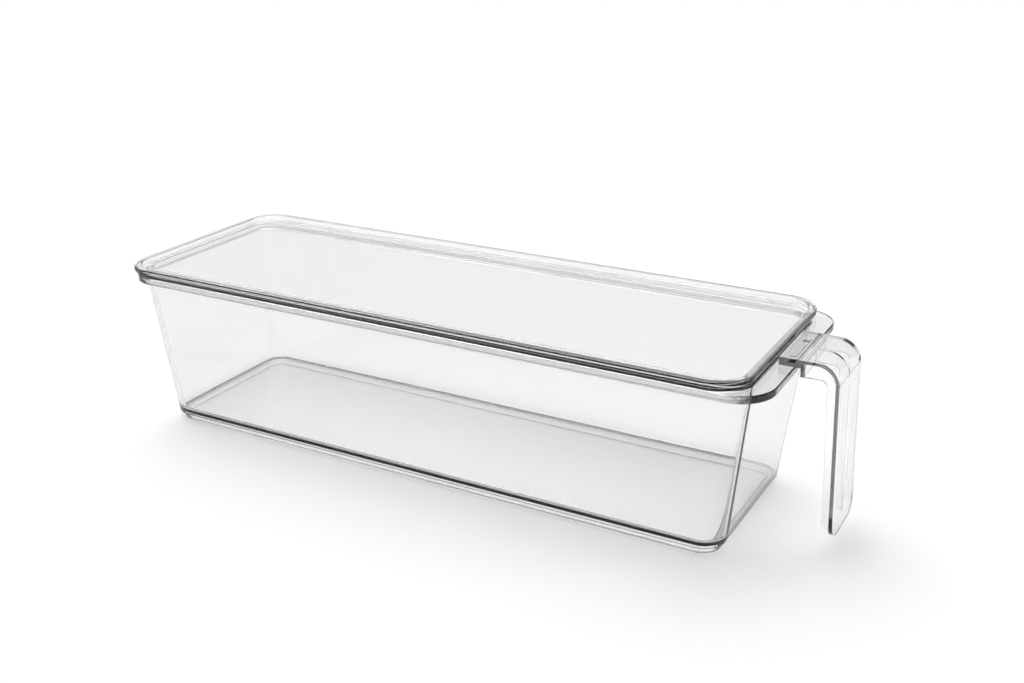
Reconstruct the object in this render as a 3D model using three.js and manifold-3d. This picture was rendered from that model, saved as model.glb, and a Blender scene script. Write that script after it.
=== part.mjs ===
// A clear refrigerator bin: a tapered tub, a lift-off lid and a hooked pull handle.
// Millimetres, +Z up. x runs along the bin from its rear end to the handle, y runs across
// it, and z = 0 is the shelf it stands on.
import * as THREE from 'three';
import { mergeVertices } from 'three/addons/utils/BufferGeometryUtils.js';
import Module from 'manifold-3d';

const wasm = await Module();
wasm.setup();

// Driving dimensions. Lengths along x are measured from the middle of the lid.
const CORNER_STEPS = 10;
const EDGE_STEPS = 3;
const GAP = 0.3;

const LID_LENGTH = 350;
const LID_WIDTH = 122.4;
const LID_CORNER = 17.5;
const LID_TOP = 92.8;
const LID_PANEL_TOP = 90.4;
const LID_LIP = 4;
const LID_STEP_TOP = 90.1;
const LID_STEP = 1.2;
const LID_RIB_DEPTH = 3.6;
const LID_RIB_THICKNESS = 1.6;
const LID_RIB_CLEARANCE = 0.7;

const RIM_TOP = 87.9;
const RIM_THICKNESS = 3.8;
const RIM_REAR = -173.5;
const RIM_FRONT = 184.3;
const RIM_WIDTH = 119.4;
const RIM_REAR_CORNER = 16;
const RIM_FRONT_CORNER = 18;

const WALL = 2.2;
const WALL_CORNER = 12.5;
const WALL_TOP = { z: RIM_TOP - RIM_THICKNESS, rear: -171.8, front: 173.6, width: 106 };
const WALL_FOOT = { z: 3.8, rear: -164.3, front: 164.3, width: 95 };

const FOOT_HEIGHT = WALL_FOOT.z;
const FOOT_STEP = 2.5;
const FOOT_THICKNESS = 3.8;

const HANDLE_WIDTH = 36;
const HANDLE_TOP = 92;
const HANDLE_BOTTOM = 7;
const HANDLE_BEND = 10.5;
const HANDLE_BEND_X = 194;
const HANDLE_REACH = 207.3;
const HANDLE_PLATE = 2;
const HANDLE_SIDE = 2.2;
const HANDLE_ARM_DEPTH = 7.8;
const HANDLE_LEG_DEPTH = 5.5;
const HANDLE_TIP_DEPTH = 4.6;
const HANDLE_INNER_BEND = 3;
const HANDLE_TIP_CORNER = 9;

const HANDLE_ROOT_REAR = 177;
const HANDLE_ROOT_FRONT = 187;
const HANDLE_END_WALL = 1.6;
const HANDLE_RIB = 1.6;
const HANDLE_RIB_END = 15;
const SLOT = { rear: 179.5, front: 183, width: 24 };
const TONGUE_DEPTH = 3.2;

// One outline is a rectangle in plan with a rounded corner at each end of both sides.
function outline(rear, front, width, rearCorner, frontCorner = rearCorner) {
  return { rear, front, width, rearCorner, frontCorner };
}

function inset(shape, amount) {
  return {
    rear: shape.rear + amount,
    front: shape.front - amount,
    width: shape.width - 2 * amount,
    rearCorner: Math.max(shape.rearCorner - amount, 0.5),
    frontCorner: Math.max(shape.frontCorner - amount, 0.5),
  };
}

// The outline's points in plan, anticlockwise seen from above.
function planPoints({ rear, front, width, rearCorner, frontCorner }) {
  const corners = [
    { x: front - frontCorner, y: -width / 2 + frontCorner, radius: frontCorner, start: -Math.PI / 2 },
    { x: front - frontCorner, y: width / 2 - frontCorner, radius: frontCorner, start: 0 },
    { x: rear + rearCorner, y: width / 2 - rearCorner, radius: rearCorner, start: Math.PI / 2 },
    { x: rear + rearCorner, y: -width / 2 + rearCorner, radius: rearCorner, start: Math.PI },
  ];
  const points = [];
  for (const corner of corners) {
    for (let step = 0; step <= CORNER_STEPS; step += 1) {
      const angle = corner.start + (step / CORNER_STEPS) * (Math.PI / 2);
      points.push([
        corner.x + corner.radius * Math.cos(angle),
        corner.y + corner.radius * Math.sin(angle),
      ]);
    }
  }
  return points;
}

// A closed solid through a stack of outlines, each { shape, z }, lowest first.
function loft(levels) {
  const rings = levels.map(({ shape, z }) => planPoints(shape).map(([x, y]) => [x, y, z]));
  const count = rings[0].length;
  const positions = rings.flat(2);
  const indices = [];
  for (let ring = 0; ring < rings.length - 1; ring += 1) {
    const low = ring * count;
    const high = low + count;
    for (let i = 0; i < count; i += 1) {
      const next = (i + 1) % count;
      indices.push(low + i, low + next, high + next);
      indices.push(low + i, high + next, high + i);
    }
  }
  const top = (rings.length - 1) * count;
  for (let i = 1; i < count - 1; i += 1) {
    indices.push(0, i + 1, i);
    indices.push(top, top + i, top + i + 1);
  }
  const geometry = new THREE.BufferGeometry();
  geometry.setAttribute('position', new THREE.Float32BufferAttribute(positions, 3));
  geometry.setIndex(indices);
  return toSolid(geometry);
}

// A slab whose outer edges are rounded by the two given radii.
function slab(shape, bottom, top, bottomEdge = 0, topEdge = 0) {
  const levels = [];
  for (let step = 0; step <= EDGE_STEPS && bottomEdge > 0; step += 1) {
    const angle = (step / EDGE_STEPS) * (Math.PI / 2);
    levels.push({
      shape: inset(shape, bottomEdge * (1 - Math.sin(angle))),
      z: bottom + bottomEdge * (1 - Math.cos(angle)),
    });
  }
  if (bottomEdge === 0) levels.push({ shape, z: bottom });
  for (let step = 0; step <= EDGE_STEPS && topEdge > 0; step += 1) {
    const angle = (step / EDGE_STEPS) * (Math.PI / 2);
    levels.push({
      shape: inset(shape, topEdge * (1 - Math.cos(angle))),
      z: top - topEdge * (1 - Math.sin(angle)),
    });
  }
  if (topEdge === 0) levels.push({ shape, z: top });
  return loft(levels);
}

// A solid from a shape drawn in the x-z plane, centred across y.
function sideways(shape, width) {
  const geometry = new THREE.ExtrudeGeometry(shape, {
    depth: width,
    bevelEnabled: false,
    curveSegments: CORNER_STEPS,
  });
  geometry.rotateX(Math.PI / 2);
  geometry.translate(0, width / 2, 0);
  return toSolid(geometry);
}

function box(rear, front, width, bottom, top) {
  const geometry = new THREE.BoxGeometry(front - rear, width, top - bottom);
  geometry.translate((rear + front) / 2, 0, (bottom + top) / 2);
  return toSolid(geometry);
}

function toSolid(geometry) {
  const bare = geometry.clone();
  bare.deleteAttribute('normal');
  bare.deleteAttribute('uv');
  const merged = mergeVertices(bare, 1e-4);
  return new wasm.Manifold(new wasm.Mesh({
    numProp: 3,
    vertProperties: new Float32Array(merged.attributes.position.array),
    triVerts: new Uint32Array(merged.index.array),
  }));
}

function toGeometry(solid) {
  const mesh = solid.getMesh();
  const geometry = new THREE.BufferGeometry();
  geometry.setAttribute('position', new THREE.Float32BufferAttribute(mesh.vertProperties, 3));
  geometry.setIndex(Array.from(mesh.triVerts));
  geometry.computeVertexNormals();
  return geometry;
}

// The outside of the tapered walls at a height, moved inwards by an amount.
function wallAt(z, amount = 0) {
  const share = (z - WALL_FOOT.z) / (WALL_TOP.z - WALL_FOOT.z);
  const between = (key) => WALL_FOOT[key] + share * (WALL_TOP[key] - WALL_FOOT[key]);
  return inset(outline(between('rear'), between('front'), between('width'), WALL_CORNER), amount);
}

// The tapered body from its rounded lower edge up to a height.
function taperedBody(bottom, top, amount, lowerEdge) {
  const levels = [];
  for (let step = 0; step <= EDGE_STEPS; step += 1) {
    const angle = (step / EDGE_STEPS) * (Math.PI / 2);
    const z = bottom + lowerEdge * (1 - Math.cos(angle));
    levels.push({ shape: wallAt(z, amount + lowerEdge * (1 - Math.sin(angle))), z });
  }
  levels.push({ shape: wallAt(top, amount), z: top });
  return loft(levels);
}

function makeTub() {
  const rimOutline = outline(RIM_REAR, RIM_FRONT, RIM_WIDTH, RIM_REAR_CORNER, RIM_FRONT_CORNER);
  const footOutline = inset(wallAt(FOOT_HEIGHT), FOOT_STEP);
  const walls = taperedBody(FOOT_HEIGHT, WALL_TOP.z + 0.5, 0, 2);
  const rim = slab(rimOutline, WALL_TOP.z, RIM_TOP, 0.6, 0.6);
  const foot = slab(footOutline, 0, FOOT_HEIGHT + 1, 0.8, 0);
  const slot = box(SLOT.rear, SLOT.front, SLOT.width, WALL_TOP.z - 1, RIM_TOP + 1);
  const inside = taperedBody(FOOT_HEIGHT + WALL, RIM_TOP + 1, WALL, 3);
  const underside = slab(inset(footOutline, FOOT_THICKNESS), -1, FOOT_HEIGHT, 0, 0);
  return walls
    .add(rim)
    .add(foot)
    .subtract(inside)
    .subtract(underside)
    .subtract(slot);
}

function makeLid() {
  const lidOutline = outline(-LID_LENGTH / 2, LID_LENGTH / 2, LID_WIDTH, LID_CORNER);
  const bottom = RIM_TOP + GAP;
  const step = slab(inset(lidOutline, LID_STEP), bottom, LID_STEP_TOP + 0.5, 0.6, 0);
  const plate = slab(lidOutline, LID_STEP_TOP, LID_TOP, 0.3, 0.9);
  const recess = slab(inset(lidOutline, LID_LIP), LID_PANEL_TOP, LID_TOP + 1, 0.6, 0);
  const ribOutline = wallAt(RIM_TOP - LID_RIB_DEPTH, WALL + LID_RIB_CLEARANCE);
  const rib = slab(ribOutline, RIM_TOP - LID_RIB_DEPTH, bottom + 0.5, 0.5, 0);
  const ribInside = slab(
    inset(ribOutline, LID_RIB_THICKNESS),
    RIM_TOP - LID_RIB_DEPTH - 1,
    bottom,
    0,
    0,
  );
  return plate.add(step).subtract(recess).add(rib).subtract(ribInside);
}

// The line that the outer plate follows, offset inwards by an amount, as a started shape.
function outerPlate(rootX, offset, bottom) {
  const bendZ = HANDLE_TOP - HANDLE_BEND;
  const outerTop = HANDLE_BEND_X + HANDLE_BEND;
  const lean = Math.atan2(HANDLE_REACH - outerTop, bendZ - HANDLE_BOTTOM);
  const shape = new THREE.Shape();
  shape.moveTo(rootX, HANDLE_TOP - offset);
  shape.lineTo(HANDLE_BEND_X, HANDLE_TOP - offset);
  shape.absarc(HANDLE_BEND_X, bendZ, HANDLE_BEND - offset, Math.PI / 2, lean, true);
  shape.lineTo(HANDLE_REACH - offset, bottom);
  return shape;
}

// The hook's side view: along the root and arm, round the bend, down the leg and back up.
function hookProfile() {
  const innerTop = HANDLE_BEND_X + HANDLE_BEND - HANDLE_LEG_DEPTH;
  const armBottom = HANDLE_TOP - HANDLE_ARM_DEPTH;
  const shape = outerPlate(HANDLE_ROOT_REAR, 0, HANDLE_BOTTOM);
  shape.lineTo(HANDLE_REACH - HANDLE_TIP_DEPTH, HANDLE_BOTTOM);
  shape.lineTo(innerTop, armBottom - HANDLE_INNER_BEND);
  shape.absarc(
    innerTop - HANDLE_INNER_BEND,
    armBottom - HANDLE_INNER_BEND,
    HANDLE_INNER_BEND,
    0,
    Math.PI / 2,
    false,
  );
  shape.lineTo(HANDLE_ROOT_FRONT, armBottom);
  shape.lineTo(HANDLE_ROOT_FRONT, RIM_TOP + GAP);
  shape.lineTo(HANDLE_ROOT_REAR, RIM_TOP + GAP);
  return shape;
}

// What the handle leaves open behind its outer plate.
function channelProfile() {
  const rootX = HANDLE_ROOT_FRONT + HANDLE_END_WALL;
  const shape = outerPlate(rootX, HANDLE_PLATE, HANDLE_BOTTOM - 1);
  shape.lineTo(rootX, HANDLE_BOTTOM - 1);
  return shape;
}

// The hook's outline seen from the front: straight sides and a rounded tip.
function tipMask() {
  const half = HANDLE_WIDTH / 2;
  const shape = new THREE.Shape();
  shape.moveTo(-half, HANDLE_TOP + 1);
  shape.lineTo(-half, HANDLE_BOTTOM + HANDLE_TIP_CORNER);
  shape.absarc(
    -half + HANDLE_TIP_CORNER,
    HANDLE_BOTTOM + HANDLE_TIP_CORNER,
    HANDLE_TIP_CORNER,
    Math.PI,
    1.5 * Math.PI,
    false,
  );
  shape.absarc(
    half - HANDLE_TIP_CORNER,
    HANDLE_BOTTOM + HANDLE_TIP_CORNER,
    HANDLE_TIP_CORNER,
    1.5 * Math.PI,
    2 * Math.PI,
    false,
  );
  shape.lineTo(half, HANDLE_TOP + 1);
  const geometry = new THREE.ExtrudeGeometry(shape, {
    depth: HANDLE_REACH - HANDLE_ROOT_REAR + 2,
    bevelEnabled: false,
    curveSegments: CORNER_STEPS,
  });
  geometry.rotateX(Math.PI / 2);
  geometry.rotateZ(Math.PI / 2);
  geometry.translate(HANDLE_ROOT_REAR - 1, 0, 0);
  return toSolid(geometry);
}

function makeHandle() {
  const hook = sideways(hookProfile(), HANDLE_WIDTH).intersect(tipMask());
  const channel = sideways(channelProfile(), HANDLE_WIDTH - 2 * HANDLE_SIDE);
  const aboveTip = box(
    HANDLE_ROOT_FRONT,
    HANDLE_REACH,
    HANDLE_RIB,
    HANDLE_RIB_END,
    HANDLE_TOP,
  );
  const rib = sideways(hookProfile(), HANDLE_RIB).intersect(aboveTip);
  const tongue = box(
    SLOT.rear + GAP,
    SLOT.front - GAP,
    SLOT.width - 2 * GAP,
    RIM_TOP + GAP - TONGUE_DEPTH,
    RIM_TOP + 2 * GAP,
  );
  return hook.subtract(channel).add(rib).add(tongue);
}

// Each piece is moved so that the origin is the middle of the footprint, on the shelf.
function piece(name, solid) {
  const middle = (-LID_LENGTH / 2 + HANDLE_REACH) / 2;
  const geometry = toGeometry(solid).translate(-middle, 0, 0);
  const material = new THREE.MeshStandardMaterial({
    color: 0xf2f5f5,
    roughness: 0.06,
    metalness: 0,
    transparent: true,
    opacity: 0.3,
  });
  const mesh = new THREE.Mesh(geometry, material);
  mesh.name = name;
  return mesh;
}

const fridgeBin = new THREE.Group();
fridgeBin.name = 'fridge_bin';
fridgeBin.add(piece('bin_tub', makeTub()));
fridgeBin.add(piece('lid', makeLid()));
fridgeBin.add(piece('handle', makeHandle()));

export default fridgeBin;
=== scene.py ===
"""A clear refrigerator bin with a lift-off lid and a hooked pull handle.

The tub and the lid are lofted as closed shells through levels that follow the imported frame, with
finer corners and edges than the frame's own solids; the tub's slot is then cut. The handle is cut
from pushed-out outlines and its edges are sharp. All three get a clear plastic that bends light.
Shape values are in millimetres, with x measured from the middle of the lid; meshes are in metres.
"""

import math

import bmesh
import bpy
from mathutils import Matrix, Vector


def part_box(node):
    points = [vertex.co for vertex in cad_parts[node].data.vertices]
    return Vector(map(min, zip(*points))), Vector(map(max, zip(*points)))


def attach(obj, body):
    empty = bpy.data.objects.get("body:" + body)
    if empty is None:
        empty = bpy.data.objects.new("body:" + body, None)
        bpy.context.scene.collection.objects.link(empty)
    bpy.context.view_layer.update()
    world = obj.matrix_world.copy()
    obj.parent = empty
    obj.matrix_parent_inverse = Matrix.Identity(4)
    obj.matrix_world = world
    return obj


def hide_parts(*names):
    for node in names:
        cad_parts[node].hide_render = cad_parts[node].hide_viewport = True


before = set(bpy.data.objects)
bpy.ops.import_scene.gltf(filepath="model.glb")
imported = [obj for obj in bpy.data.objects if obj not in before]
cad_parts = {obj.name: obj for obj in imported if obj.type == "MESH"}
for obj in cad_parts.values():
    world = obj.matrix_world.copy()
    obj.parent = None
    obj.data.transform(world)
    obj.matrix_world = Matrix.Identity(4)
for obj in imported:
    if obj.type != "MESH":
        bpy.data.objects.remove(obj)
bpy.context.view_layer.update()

MM = 0.001

# What the frame gives, in millimetres.
LID_LOW, LID_HIGH = (Vector(corner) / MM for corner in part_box("lid"))
TUB_LOW, TUB_HIGH = (Vector(corner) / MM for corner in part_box("bin_tub"))
HANDLE_LOW, HANDLE_HIGH = (Vector(corner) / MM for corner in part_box("handle"))
MIDDLE = (LID_LOW.x + LID_HIGH.x) / 2

# How many steps each kind of rounded stretch has, and the tightest corner an outline keeps.
CORNER_STEPS = 20
EDGE_STEPS = 5
INNER_BEND_STEPS = 10
SMALLEST_CORNER = 0.5

# The lid: its outline, lip and sunk panel, the step under its edge and the rib below.
LID_CORNER = 17.5
LID_PANEL_TOP = 90.4
LID_LIP = 4.0
LID_STEP_TOP = 90.1
LID_STEP = 1.2
RIB_DEPTH = 3.6
RIB_THICKNESS = 1.6
RIB_CLEARANCE = 0.7

# Radii of the lid's edges.
RIB_EDGE = 0.4
LID_STEP_EDGE = 0.5
LID_UNDER_EDGE = 0.3
LID_LIP_EDGE = 0.9
LID_PANEL_FILLET = 0.8

# The tub's rim flange, walls and foot.
RIM_TOP = 87.9
RIM_THICKNESS = 3.8
RIM_REAR = TUB_LOW.x - MIDDLE
RIM_FRONT = 184.3
RIM_WIDTH = TUB_HIGH.y - TUB_LOW.y
RIM_REAR_CORNER = 16.0
RIM_FRONT_CORNER = 18.0
WALL = 2.2
WALL_CORNER = 12.5
WALL_TOP = {"z": RIM_TOP - RIM_THICKNESS, "rear": -171.8, "front": 173.6, "width": 106.0}
WALL_FOOT = {"z": 3.8, "rear": -164.3, "front": 164.3, "width": 95.0}
FOOT_STEP = 2.5
FOOT_THICKNESS = 3.8

# Radii of the tub's edges.
FOOT_INNER_EDGE = 0.5
FOOT_OUTER_EDGE = 0.8
WALL_LOW_EDGE = 1.5
RIM_FILLET = 1.0
RIM_EDGE = 0.8
FLOOR_FILLET = 3.0

# The handle, and the slot in the rim that takes its tongue.
HANDLE_WIDTH = HANDLE_HIGH.y - HANDLE_LOW.y
HANDLE_TOP = HANDLE_HIGH.z
HANDLE_BOTTOM = HANDLE_LOW.z
HANDLE_REACH = HANDLE_HIGH.x - MIDDLE
HANDLE_BEND = 10.5
HANDLE_BEND_X = 194.0
HANDLE_PLATE = 2.0
HANDLE_SIDE = 2.2
HANDLE_ARM_DEPTH = 7.8
HANDLE_LEG_DEPTH = 5.5
HANDLE_TIP_DEPTH = 4.6
HANDLE_INNER_BEND = 3.0
HANDLE_TIP_CORNER = 9.0
HANDLE_ROOT_REAR = HANDLE_LOW.x - MIDDLE
HANDLE_ROOT_FRONT = 187.0
HANDLE_END_WALL = 1.6
HANDLE_RIB = 1.6
HANDLE_RIB_END = 15.0
SLOT_REAR = 179.5
SLOT_FRONT = 183.0
SLOT_WIDTH = 24.0
TONGUE_DEPTH = 3.2
GAP = 0.3

# How far a cutting shape reaches past what it cuts, and what is cleaned up after cutting:
# slivers up to this size in millimetres, and bends up to this angle in degrees.
CUT_MARGIN = 1
SLIVER = 0.1
FLAT_ANGLE = 1.0

# Shading: bends over this many degrees look sharp, and how far flat faces win over small ones.
SHARP_ANGLE = 40
FLAT_FACE_WEIGHT = 80

# The plastic's polish. Roughness follows the middle of a noise, and flow waves tilt the surface.
WHITE = (1.0, 1.0, 1.0, 1.0)
PLASTIC_IOR = 1.5
MARK_SCALE = 60.0
MARK_DETAIL = 6.0
MARK_RANGE = (0.45, 0.75)
ROUGHNESS_RANGE = (0.0, 0.02)
WAVE_SCALE = 22.0
WAVE_DETAIL = 1.0
WAVE_STRENGTH = 0.02
WAVE_DISTANCE = 0.0001

# How strongly the plastic of each piece absorbs light, and the tone that is left.
TUB_DENSITY = 80.0
LID_DENSITY = 45.0
HANDLE_DENSITY = 90.0
ABSORBED_TONE = (0.5, 0.5, 0.5, 1.0)

# How much light each surface of the plastic lets down to the floor.
LIGHT_THROUGH = (0.95, 0.95, 0.95, 1.0)

# The floor. Its reach is half its side, in metres.
FLOOR_REACH = 12.0
FLOOR_TONE = (0.93, 0.93, 0.93, 1.0)

# The light. Places are in metres.
OVERHEAD_LIGHT = 2.85
SKY_SEEN = 0.96
STRIP_POWER = 0.5
STRIP_LENGTH = 0.5
STRIP_BREADTH = 0.08
STRIP_AIM = (0, 0, 0.05)

# The camera, as fitted to the photo: angles in degrees, places in metres, lens in millimetres.
CAMERA_AZIMUTH = 29.45
CAMERA_ELEVATION = 21.6
CAMERA_ROLL = -0.59
CAMERA_DISTANCE = 0.6759
CAMERA_AIM = (-0.0034, 0.0353, 0.05)
CAMERA_LENS = 43.55
CAMERA_SENSOR = 36.0
CAMERA_NEAREST = 0.01


def placed(x, y, z):
    """A point of the bin, given in millimetres from the lid's middle, in the frame in metres."""
    return (Vector((x, y, z)) + Vector((MIDDLE, 0, 0))) * MM


def new_object(name, mesh_data):
    """An object in the scene with this mesh."""
    mesh = bpy.data.meshes.new(name)
    mesh_data.to_mesh(mesh)
    mesh_data.free()
    piece = bpy.data.objects.new(name, mesh)
    bpy.context.scene.collection.objects.link(piece)
    return piece


def shell(name, rings):
    """A closed shell through a chain of rings with as many points each, with flat ends."""
    mesh_data = bmesh.new()
    vertex_rings = [[mesh_data.verts.new(point) for point in ring] for ring in rings]
    for low, high in zip(vertex_rings, vertex_rings[1:]):
        count = len(low)
        for i in range(count):
            after = (i + 1) % count
            mesh_data.faces.new((low[i], low[after], high[after], high[i]))
    mesh_data.faces.new(list(reversed(vertex_rings[0])))
    mesh_data.faces.new(vertex_rings[-1])
    bmesh.ops.recalc_face_normals(mesh_data, faces=mesh_data.faces)
    return new_object(name, mesh_data)


def extruded(name, points, plane, start, end):
    """A flat outline pushed along the third axis: along y for plane "xz", along x for "yz"."""
    rings = []
    for offset in (start, end):
        if plane == "xz":
            rings.append([placed(a, offset, b) for a, b in points])
        else:
            rings.append([placed(offset, a, b) for a, b in points])
    return shell(name, rings)


def box(name, rear, front, half, bottom, top):
    """A plain block, for cutting or joining, from -half to half across."""
    points = [(rear, bottom), (front, bottom), (front, top), (rear, top)]
    return extruded(name, points, "xz", -half, half)


def combine(piece, tool, operation):
    """Joins the tool to the piece, or cuts with it, and removes the tool."""
    modifier = piece.modifiers.new(operation.lower(), "BOOLEAN")
    modifier.object = tool
    modifier.operation = operation
    modifier.solver = "EXACT"
    graph = bpy.context.evaluated_depsgraph_get()
    result = bpy.data.meshes.new_from_object(piece.evaluated_get(graph))
    piece.modifiers.clear()
    old = piece.data
    piece.data = result
    bpy.data.meshes.remove(old)
    bpy.data.objects.remove(tool)


def clean(piece):
    """Merges the slivers that cutting leaves, and joins flat faces that it split."""
    mesh_data = bmesh.new()
    mesh_data.from_mesh(piece.data)
    bmesh.ops.remove_doubles(mesh_data, verts=mesh_data.verts, dist=SLIVER * MM)
    bmesh.ops.dissolve_limit(
        mesh_data,
        angle_limit=math.radians(FLAT_ANGLE),
        verts=mesh_data.verts,
        edges=mesh_data.edges,
    )
    mesh_data.to_mesh(piece.data)
    mesh_data.free()


def outline(rear, front, width, rear_corner, front_corner):
    """A rectangle in plan with rounded corners."""
    return {
        "rear": rear,
        "front": front,
        "width": width,
        "rear_corner": rear_corner,
        "front_corner": front_corner,
    }


def inset(shape, amount):
    """The outline moved inwards by an amount, or outwards by a negative one."""
    return outline(
        shape["rear"] + amount,
        shape["front"] - amount,
        shape["width"] - 2 * amount,
        max(shape["rear_corner"] - amount, SMALLEST_CORNER),
        max(shape["front_corner"] - amount, SMALLEST_CORNER),
    )


def ring_points(shape, z):
    """The outline's points at a height, anticlockwise seen from above."""
    half = shape["width"] / 2
    rear = shape["rear_corner"]
    front = shape["front_corner"]
    # Each corner's centre and radius, and where its arc starts in half turns.
    corners = (
        (shape["front"] - front, -half + front, front, -0.5),
        (shape["front"] - front, half - front, front, 0.0),
        (shape["rear"] + rear, half - rear, rear, 0.5),
        (shape["rear"] + rear, -half + rear, rear, 1.0),
    )
    points = []
    for x, y, radius, start in corners:
        for step in range(CORNER_STEPS + 1):
            angle = math.pi * (start + 0.5 * step / CORNER_STEPS)
            points.append(placed(x + radius * math.cos(angle), y + radius * math.sin(angle), z))
    return points


def loft(name, levels):
    """A closed shell through a chain of levels, each (outline, height)."""
    return shell(name, [ring_points(shape, z) for shape, z in levels])


def rounded(shape, z, radius, inwards, upwards):
    """Levels of a quarter round, from its flat face at z to its side, where the outline is.

    With inwards 1 the flat face lies inside the outline, with -1 outside it. With upwards 1 the
    side rises from the flat face, with -1 it falls.
    """
    levels = []
    for step in range(EDGE_STEPS + 1):
        angle = math.radians(90 * step / EDGE_STEPS)
        amount = inwards * radius * (1 - math.sin(angle))
        levels.append((inset(shape, amount), z + upwards * radius * (1 - math.cos(angle))))
    return levels


def outer_low(shape, bottom, radius):
    """A rounded lower outside edge, going up."""
    return rounded(shape, bottom, radius, 1, 1)


def outer_high(shape, top, radius):
    """A rounded upper outside edge, going up."""
    return rounded(shape, top, radius, 1, -1)[::-1]


def inner_high(shape, top, radius):
    """A rounded upper inside edge, going down into the hole."""
    return rounded(shape, top, radius, -1, -1)


def inner_low(shape, bottom, radius):
    """A rounded corner between a hole's side and its floor, going down."""
    return rounded(shape, bottom, radius, 1, 1)[::-1]


def ring_inner_low(shape, bottom, radius):
    """The rounded inner lower edge of a ring that is open below, going down."""
    return rounded(shape, bottom, radius, -1, 1)[::-1]


def under_rim(shape, top, radius):
    """The fillet where the outer wall meets the rim's underside, going up."""
    return rounded(shape, top, radius, -1, -1)[::-1]


def wall_at(z, amount=0.0):
    """The outside of the tapered walls at a height, moved inwards by an amount."""
    share = (z - WALL_FOOT["z"]) / (WALL_TOP["z"] - WALL_FOOT["z"])
    rear, front, width = (
        WALL_FOOT[key] + share * (WALL_TOP[key] - WALL_FOOT[key])
        for key in ("rear", "front", "width")
    )
    return inset(outline(rear, front, width, WALL_CORNER, WALL_CORNER), amount)


def tub_levels():
    """The tub's whole section: underside, foot, outer wall, rim, mouth, inner wall, floor."""
    foot_top = WALL_FOOT["z"]
    foot = inset(wall_at(foot_top), FOOT_STEP)
    recess = inset(foot, FOOT_THICKNESS)
    rim = outline(RIM_REAR, RIM_FRONT, RIM_WIDTH, RIM_REAR_CORNER, RIM_FRONT_CORNER)
    rim_bottom = WALL_TOP["z"]
    fillet_bottom = rim_bottom - RIM_FILLET
    floor_top = foot_top + WALL
    levels = [(recess, foot_top)]
    levels += ring_inner_low(recess, 0.0, FOOT_INNER_EDGE)
    levels += outer_low(foot, 0.0, FOOT_OUTER_EDGE)
    levels += [(foot, foot_top)]
    levels += outer_low(wall_at(foot_top + WALL_LOW_EDGE), foot_top, WALL_LOW_EDGE)
    levels += [(wall_at(fillet_bottom), fillet_bottom)]
    levels += under_rim(wall_at(rim_bottom), rim_bottom, RIM_FILLET)
    levels += outer_low(rim, rim_bottom, RIM_EDGE)
    levels += outer_high(rim, RIM_TOP, RIM_EDGE)
    levels += inner_high(wall_at(RIM_TOP, WALL), RIM_TOP, RIM_EDGE)
    levels += inner_low(wall_at(floor_top, WALL), floor_top, FLOOR_FILLET)
    return levels


def make_tub():
    """The tub, with the slot in its rim for the handle's tongue."""
    tub = loft("tub_shell", tub_levels())
    slot = box(
        "slot_tool",
        SLOT_REAR,
        SLOT_FRONT,
        SLOT_WIDTH / 2,
        WALL_TOP["z"] - CUT_MARGIN,
        RIM_TOP + CUT_MARGIN,
    )
    combine(tub, slot, "DIFFERENCE")
    return tub


def make_lid():
    """The lid's section: panel's underside, rib, step, outer edge, lip and sunk panel."""
    rear = LID_LOW.x - MIDDLE
    front = LID_HIGH.x - MIDDLE
    edge = outline(rear, front, LID_HIGH.y - LID_LOW.y, LID_CORNER, LID_CORNER)
    step = inset(edge, LID_STEP)
    recess = inset(edge, LID_LIP)
    bottom = RIM_TOP + GAP
    rib_low = RIM_TOP - RIB_DEPTH
    rib = wall_at(rib_low, WALL + RIB_CLEARANCE)
    rib_inside = inset(rib, RIB_THICKNESS)
    levels = [(rib_inside, bottom)]
    levels += ring_inner_low(rib_inside, rib_low, RIB_EDGE)
    levels += outer_low(rib, rib_low, RIB_EDGE)
    levels += [(rib, bottom)]
    levels += outer_low(step, bottom, LID_STEP_EDGE)
    levels += [(step, LID_STEP_TOP)]
    levels += outer_low(edge, LID_STEP_TOP, LID_UNDER_EDGE)
    levels += outer_high(edge, LID_HIGH.z, LID_LIP_EDGE)
    levels += inner_high(recess, LID_HIGH.z, LID_LIP_EDGE)
    levels += inner_low(recess, LID_PANEL_TOP, LID_PANEL_FILLET)
    return loft("lid_shell", levels)


def curve_points(x, z, radius, start, end, steps=CORNER_STEPS):
    """Points on an arc, from start to end in radians."""
    points = []
    for step in range(steps + 1):
        angle = start + (end - start) * step / steps
        points.append((x + radius * math.cos(angle), z + radius * math.sin(angle)))
    return points


def outer_plate(root_x, offset, bottom):
    """The line of the handle's outer face, moved inwards by an offset, from root to tip."""
    bend_z = HANDLE_TOP - HANDLE_BEND
    outer_top = HANDLE_BEND_X + HANDLE_BEND
    lean = math.atan2(HANDLE_REACH - outer_top, bend_z - HANDLE_BOTTOM)
    points = [(root_x, HANDLE_TOP - offset)]
    points += curve_points(HANDLE_BEND_X, bend_z, HANDLE_BEND - offset, math.pi / 2, lean)
    points += [(HANDLE_REACH - offset, bottom)]
    return points


def hook_points():
    """The whole handle seen from the side."""
    arm_bottom = HANDLE_TOP - HANDLE_ARM_DEPTH
    root_bottom = RIM_TOP + GAP
    points = outer_plate(HANDLE_ROOT_REAR, 0.0, HANDLE_BOTTOM)
    points += [(HANDLE_REACH - HANDLE_TIP_DEPTH, HANDLE_BOTTOM)]
    points += curve_points(
        HANDLE_BEND_X + HANDLE_BEND - HANDLE_LEG_DEPTH - HANDLE_INNER_BEND,
        arm_bottom - HANDLE_INNER_BEND,
        HANDLE_INNER_BEND,
        0.0,
        math.pi / 2,
        INNER_BEND_STEPS,
    )
    points += [(HANDLE_ROOT_FRONT, arm_bottom), (HANDLE_ROOT_FRONT, root_bottom)]
    points += [(HANDLE_ROOT_REAR, root_bottom)]
    return points


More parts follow.
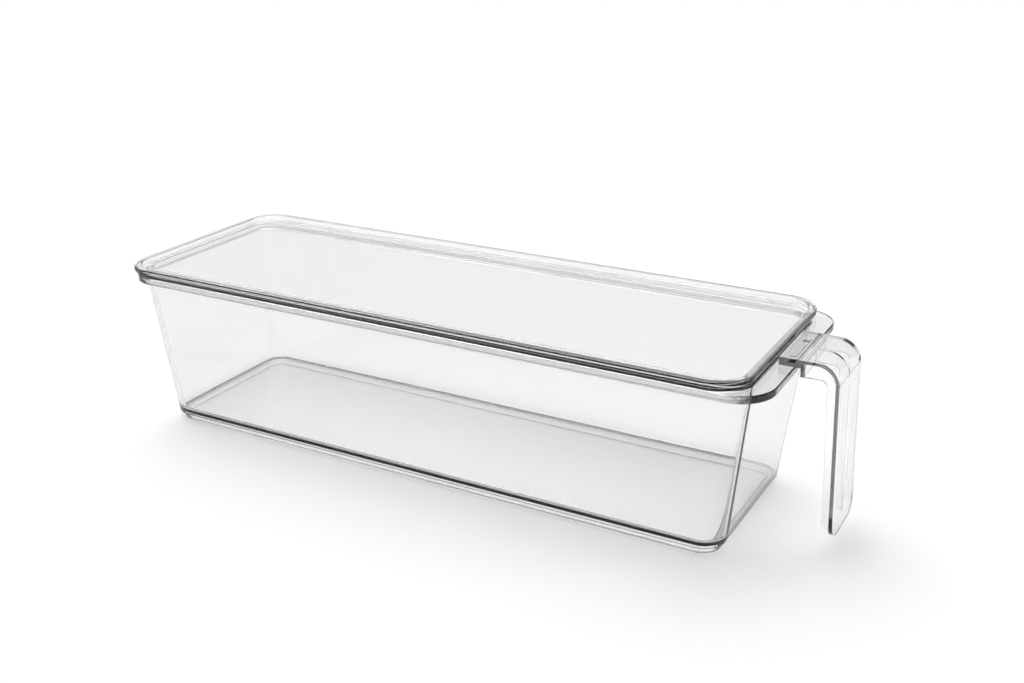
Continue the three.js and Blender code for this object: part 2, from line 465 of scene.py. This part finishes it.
def channel_points():
    """What the handle leaves open behind its outer plate, seen from the side."""
    root_x = HANDLE_ROOT_FRONT + HANDLE_END_WALL
    bottom = HANDLE_BOTTOM - CUT_MARGIN
    return outer_plate(root_x, HANDLE_PLATE, bottom) + [(root_x, bottom)]


def rib_end_points():
    """What the central rib leaves open below its end, flush with the plate, from the side."""
    (bend_x, bend_z), (low_x, low_z) = channel_points()[-3:-1]
    share = (HANDLE_RIB_END - bend_z) / (low_z - bend_z)
    return [
        (bend_x + share * (low_x - bend_x), HANDLE_RIB_END),
        (low_x, low_z),
        (HANDLE_ROOT_FRONT, low_z),
        (HANDLE_ROOT_FRONT, HANDLE_RIB_END),
    ]


def tip_points():
    """The handle seen from the front: straight sides and a rounded tip."""
    half = HANDLE_WIDTH / 2
    side = half - HANDLE_TIP_CORNER
    low = HANDLE_BOTTOM + HANDLE_TIP_CORNER
    top = HANDLE_TOP + CUT_MARGIN
    points = [(-half, top)]
    points += curve_points(-side, low, HANDLE_TIP_CORNER, math.pi, 1.5 * math.pi)
    points += curve_points(side, low, HANDLE_TIP_CORNER, 1.5 * math.pi, 2 * math.pi)
    points += [(half, top)]
    return points


def make_handle():
    """The handle: a hook with a rounded tip, hollow on both sides of its rib, and its tongue."""
    half = HANDLE_WIDTH / 2
    inner_half = half - HANDLE_SIDE
    handle = extruded("handle_shell", hook_points(), "xz", -half, half)
    rear = HANDLE_ROOT_REAR - CUT_MARGIN
    front = HANDLE_REACH + CUT_MARGIN
    combine(handle, extruded("tip_tool", tip_points(), "yz", rear, front), "INTERSECT")
    for side in (-1, 1):
        ends = sorted((side * HANDLE_RIB / 2, side * inner_half))
        channel = extruded("channel_tool", channel_points(), "xz", *ends)
        combine(handle, channel, "DIFFERENCE")
    rib_end = extruded("rib_end_tool", rib_end_points(), "xz", -HANDLE_RIB, HANDLE_RIB)
    combine(handle, rib_end, "DIFFERENCE")
    root_bottom = RIM_TOP + GAP
    # The tongue starts a little way up inside the root, so that the two join.
    tongue = box(
        "tongue_tool",
        SLOT_REAR + GAP,
        SLOT_FRONT - GAP,
        SLOT_WIDTH / 2 - GAP,
        root_bottom - TONGUE_DEPTH,
        root_bottom + GAP,
    )
    combine(handle, tongue, "UNION")
    clean(handle)
    return handle


def finish_surface(piece, material):
    """Smooth shading that keeps flat faces flat, and the piece's material."""
    for polygon in piece.data.polygons:
        polygon.use_smooth = True
    piece.data.set_sharp_from_angle(angle=math.radians(SHARP_ANGLE))
    normals = piece.modifiers.new("flat_faces", "WEIGHTED_NORMAL")
    normals.keep_sharp = True
    normals.weight = FLAT_FACE_WEIGHT
    piece.data.materials.clear()
    piece.data.materials.append(material)


def add_node(nodes, kind, values):
    """A new shader node with these values at its inputs."""
    node = nodes.new(kind)
    for name, value in values.items():
        node.inputs[name].default_value = value
    return node


def add_range(nodes, source, target):
    """A new node that maps one range of values to another."""
    return add_node(nodes, "ShaderNodeMapRange", {
        "From Min": source[0],
        "From Max": source[1],
        "To Min": target[0],
        "To Max": target[1],
    })


def clear_plastic(name, density):
    """Clear polished moulded plastic: it bends light, with a trace of flow waves and rub marks."""
    material = bpy.data.materials.new(name)
    material.use_nodes = True
    nodes = material.node_tree.nodes
    links = material.node_tree.links
    nodes.clear()
    output = nodes.new("ShaderNodeOutputMaterial")
    coordinates = nodes.new("ShaderNodeTexCoord")
    plastic = add_node(nodes, "ShaderNodeBsdfPrincipled", {
        "Base Color": WHITE,
        "Transmission Weight": 1.0,
        "IOR": PLASTIC_IOR,
    })

    marks = add_node(nodes, "ShaderNodeTexNoise", {"Scale": MARK_SCALE, "Detail": MARK_DETAIL})
    rough = add_range(nodes, MARK_RANGE, ROUGHNESS_RANGE)
    links.new(coordinates.outputs["Object"], marks.inputs["Vector"])
    links.new(marks.outputs["Fac"], rough.inputs["Value"])
    links.new(rough.outputs["Result"], plastic.inputs["Roughness"])

    waves = add_node(nodes, "ShaderNodeTexNoise", {"Scale": WAVE_SCALE, "Detail": WAVE_DETAIL})
    bump = add_node(nodes, "ShaderNodeBump", {
        "Strength": WAVE_STRENGTH,
        "Distance": WAVE_DISTANCE,
    })
    links.new(coordinates.outputs["Object"], waves.inputs["Vector"])
    links.new(waves.outputs["Fac"], bump.inputs["Height"])
    links.new(bump.outputs["Normal"], plastic.inputs["Normal"])

    absorption = add_node(nodes, "ShaderNodeVolumeAbsorption", {
        "Color": ABSORBED_TONE,
        "Density": density,
    })
    links.new(absorption.outputs["Volume"], output.inputs["Volume"])

    # Light on its way down to the floor goes straight through, only a little weaker.
    clear = add_node(nodes, "ShaderNodeBsdfTransparent", {"Color": LIGHT_THROUGH})
    path = nodes.new("ShaderNodeLightPath")
    mix = nodes.new("ShaderNodeMixShader")
    links.new(path.outputs["Is Shadow Ray"], mix.inputs["Fac"])
    links.new(plastic.outputs["BSDF"], mix.inputs[1])
    links.new(clear.outputs["BSDF"], mix.inputs[2])
    links.new(mix.outputs["Shader"], output.inputs["Surface"])
    return material


def floor_material():
    """A pale, dull floor."""
    material = bpy.data.materials.new("pale_floor")
    material.use_nodes = True
    surface = material.node_tree.nodes["Principled BSDF"]
    surface.inputs["Base Color"].default_value = FLOOR_TONE
    surface.inputs["Roughness"].default_value = 0.9
    surface.inputs["Specular IOR Level"].default_value = 0.1
    return material


def make_floor():
    """The floor the bin stands on, which is part of the stage."""
    mesh_data = bmesh.new()
    bmesh.ops.create_grid(mesh_data, x_segments=1, y_segments=1, size=FLOOR_REACH)
    floor = new_object("floor", mesh_data)
    floor.data.materials.append(floor_material())


def strip_light(name, place, width, height):
    """A long narrow lamp that looks at the bin."""
    data = bpy.data.lights.new(name, "AREA")
    data.shape = "RECTANGLE"
    data.size = width
    data.size_y = height
    data.energy = STRIP_POWER
    light = bpy.data.objects.new(name, data)
    light.location = place
    sight = Vector(STRIP_AIM) - Vector(place)
    light.rotation_euler = sight.to_track_quat("-Z", "Y").to_euler()
    bpy.context.scene.collection.objects.link(light)


def glow(nodes, links, direction, reach, brightness):
    """Brightness that rises smoothly as a direction in the sky nears the given one.

    The reach is the cosine where it starts to rise and the one where it is full.
    """
    coordinates = nodes.new("ShaderNodeTexCoord")
    nearness = nodes.new("ShaderNodeVectorMath")
    nearness.operation = "DOT_PRODUCT"
    nearness.inputs[1].default_value = Vector(direction).normalized()
    rise = add_range(nodes, reach, brightness)
    rise.interpolation_type = "SMOOTHSTEP"
    links.new(coordinates.outputs["Generated"], nearness.inputs[0])
    links.new(nearness.outputs["Value"], rise.inputs["Value"])
    return rise.outputs["Result"]


def studio():
    """A pale backdrop behind the bin, grey all round, and a large soft light overhead.

    The camera itself sees one pale tone all round, so no horizon shows.
    """
    world = bpy.data.worlds.new("studio")
    world.use_nodes = True
    nodes = world.node_tree.nodes
    links = world.node_tree.links
    backdrop = glow(
        nodes,
        links,
        direction=(-0.49, 0.87, 0.0),
        reach=(0.0, 0.8),
        brightness=(0.15, 0.8),
    )
    overhead = glow(
        nodes,
        links,
        direction=(-0.4, 0.3, 0.87),
        reach=(0.74, 0.92),
        brightness=(0.0, OVERHEAD_LIGHT),
    )
    total = nodes.new("ShaderNodeMath")
    total.operation = "ADD"
    path = nodes.new("ShaderNodeLightPath")
    seen = add_node(nodes, "ShaderNodeMix", {"B": SKY_SEEN})
    links.new(backdrop, total.inputs[0])
    links.new(overhead, total.inputs[1])
    links.new(path.outputs["Is Camera Ray"], seen.inputs["Factor"])
    links.new(total.outputs["Value"], seen.inputs["A"])
    links.new(seen.outputs["Result"], nodes["Background"].inputs["Color"])
    bpy.context.scene.world = world
    bpy.context.scene.view_settings.view_transform = "Standard"
    strip_light("strip_rear", (-0.55, 0.5, 0.55), width=STRIP_LENGTH, height=STRIP_BREADTH)
    strip_light("strip_right", (0.7, 0.3, 0.5), width=STRIP_BREADTH, height=STRIP_LENGTH)


def make_camera():
    """The camera, turned round the bin to the viewing angle and rolled slightly."""
    azimuth = math.radians(CAMERA_AZIMUTH)
    elevation = math.radians(CAMERA_ELEVATION)
    roll = math.radians(CAMERA_ROLL)
    back = Vector((
        math.sin(azimuth) * math.cos(elevation),
        -math.cos(azimuth) * math.cos(elevation),
        math.sin(elevation),
    ))
    right = (-back).cross(Vector((0, 0, 1))).normalized()
    up = right.cross(-back)
    tilted_right = right * math.cos(roll) + up * math.sin(roll)
    tilted_up = up * math.cos(roll) - right * math.sin(roll)
    data = bpy.data.cameras.new("camera")
    data.lens = CAMERA_LENS
    data.sensor_width = CAMERA_SENSOR
    data.clip_start = CAMERA_NEAREST
    camera = bpy.data.objects.new("camera", data)
    place = Vector(CAMERA_AIM) + back * CAMERA_DISTANCE
    turn = Matrix((tilted_right, tilted_up, back)).transposed()
    camera.matrix_world = Matrix.Translation(place) @ turn.to_4x4()
    bpy.context.scene.collection.objects.link(camera)
    bpy.context.scene.camera = camera


def dress(piece, body, node, material):
    """Gives a piece its finish, puts it under its body, and hides the frame's node it stands in
    for.
    """
    finish_surface(piece, material)
    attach(piece, body)
    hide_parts(node)


tub_plastic = clear_plastic("clear_tub_plastic", TUB_DENSITY)
lid_plastic = clear_plastic("clear_lid_plastic", LID_DENSITY)
handle_plastic = clear_plastic("clear_handle_plastic", HANDLE_DENSITY)
dress(make_tub(), "bin", "bin_tub", tub_plastic)
dress(make_lid(), "lid", "lid", lid_plastic)
dress(make_handle(), "bin", "handle", handle_plastic)
make_floor()
studio()
make_camera()
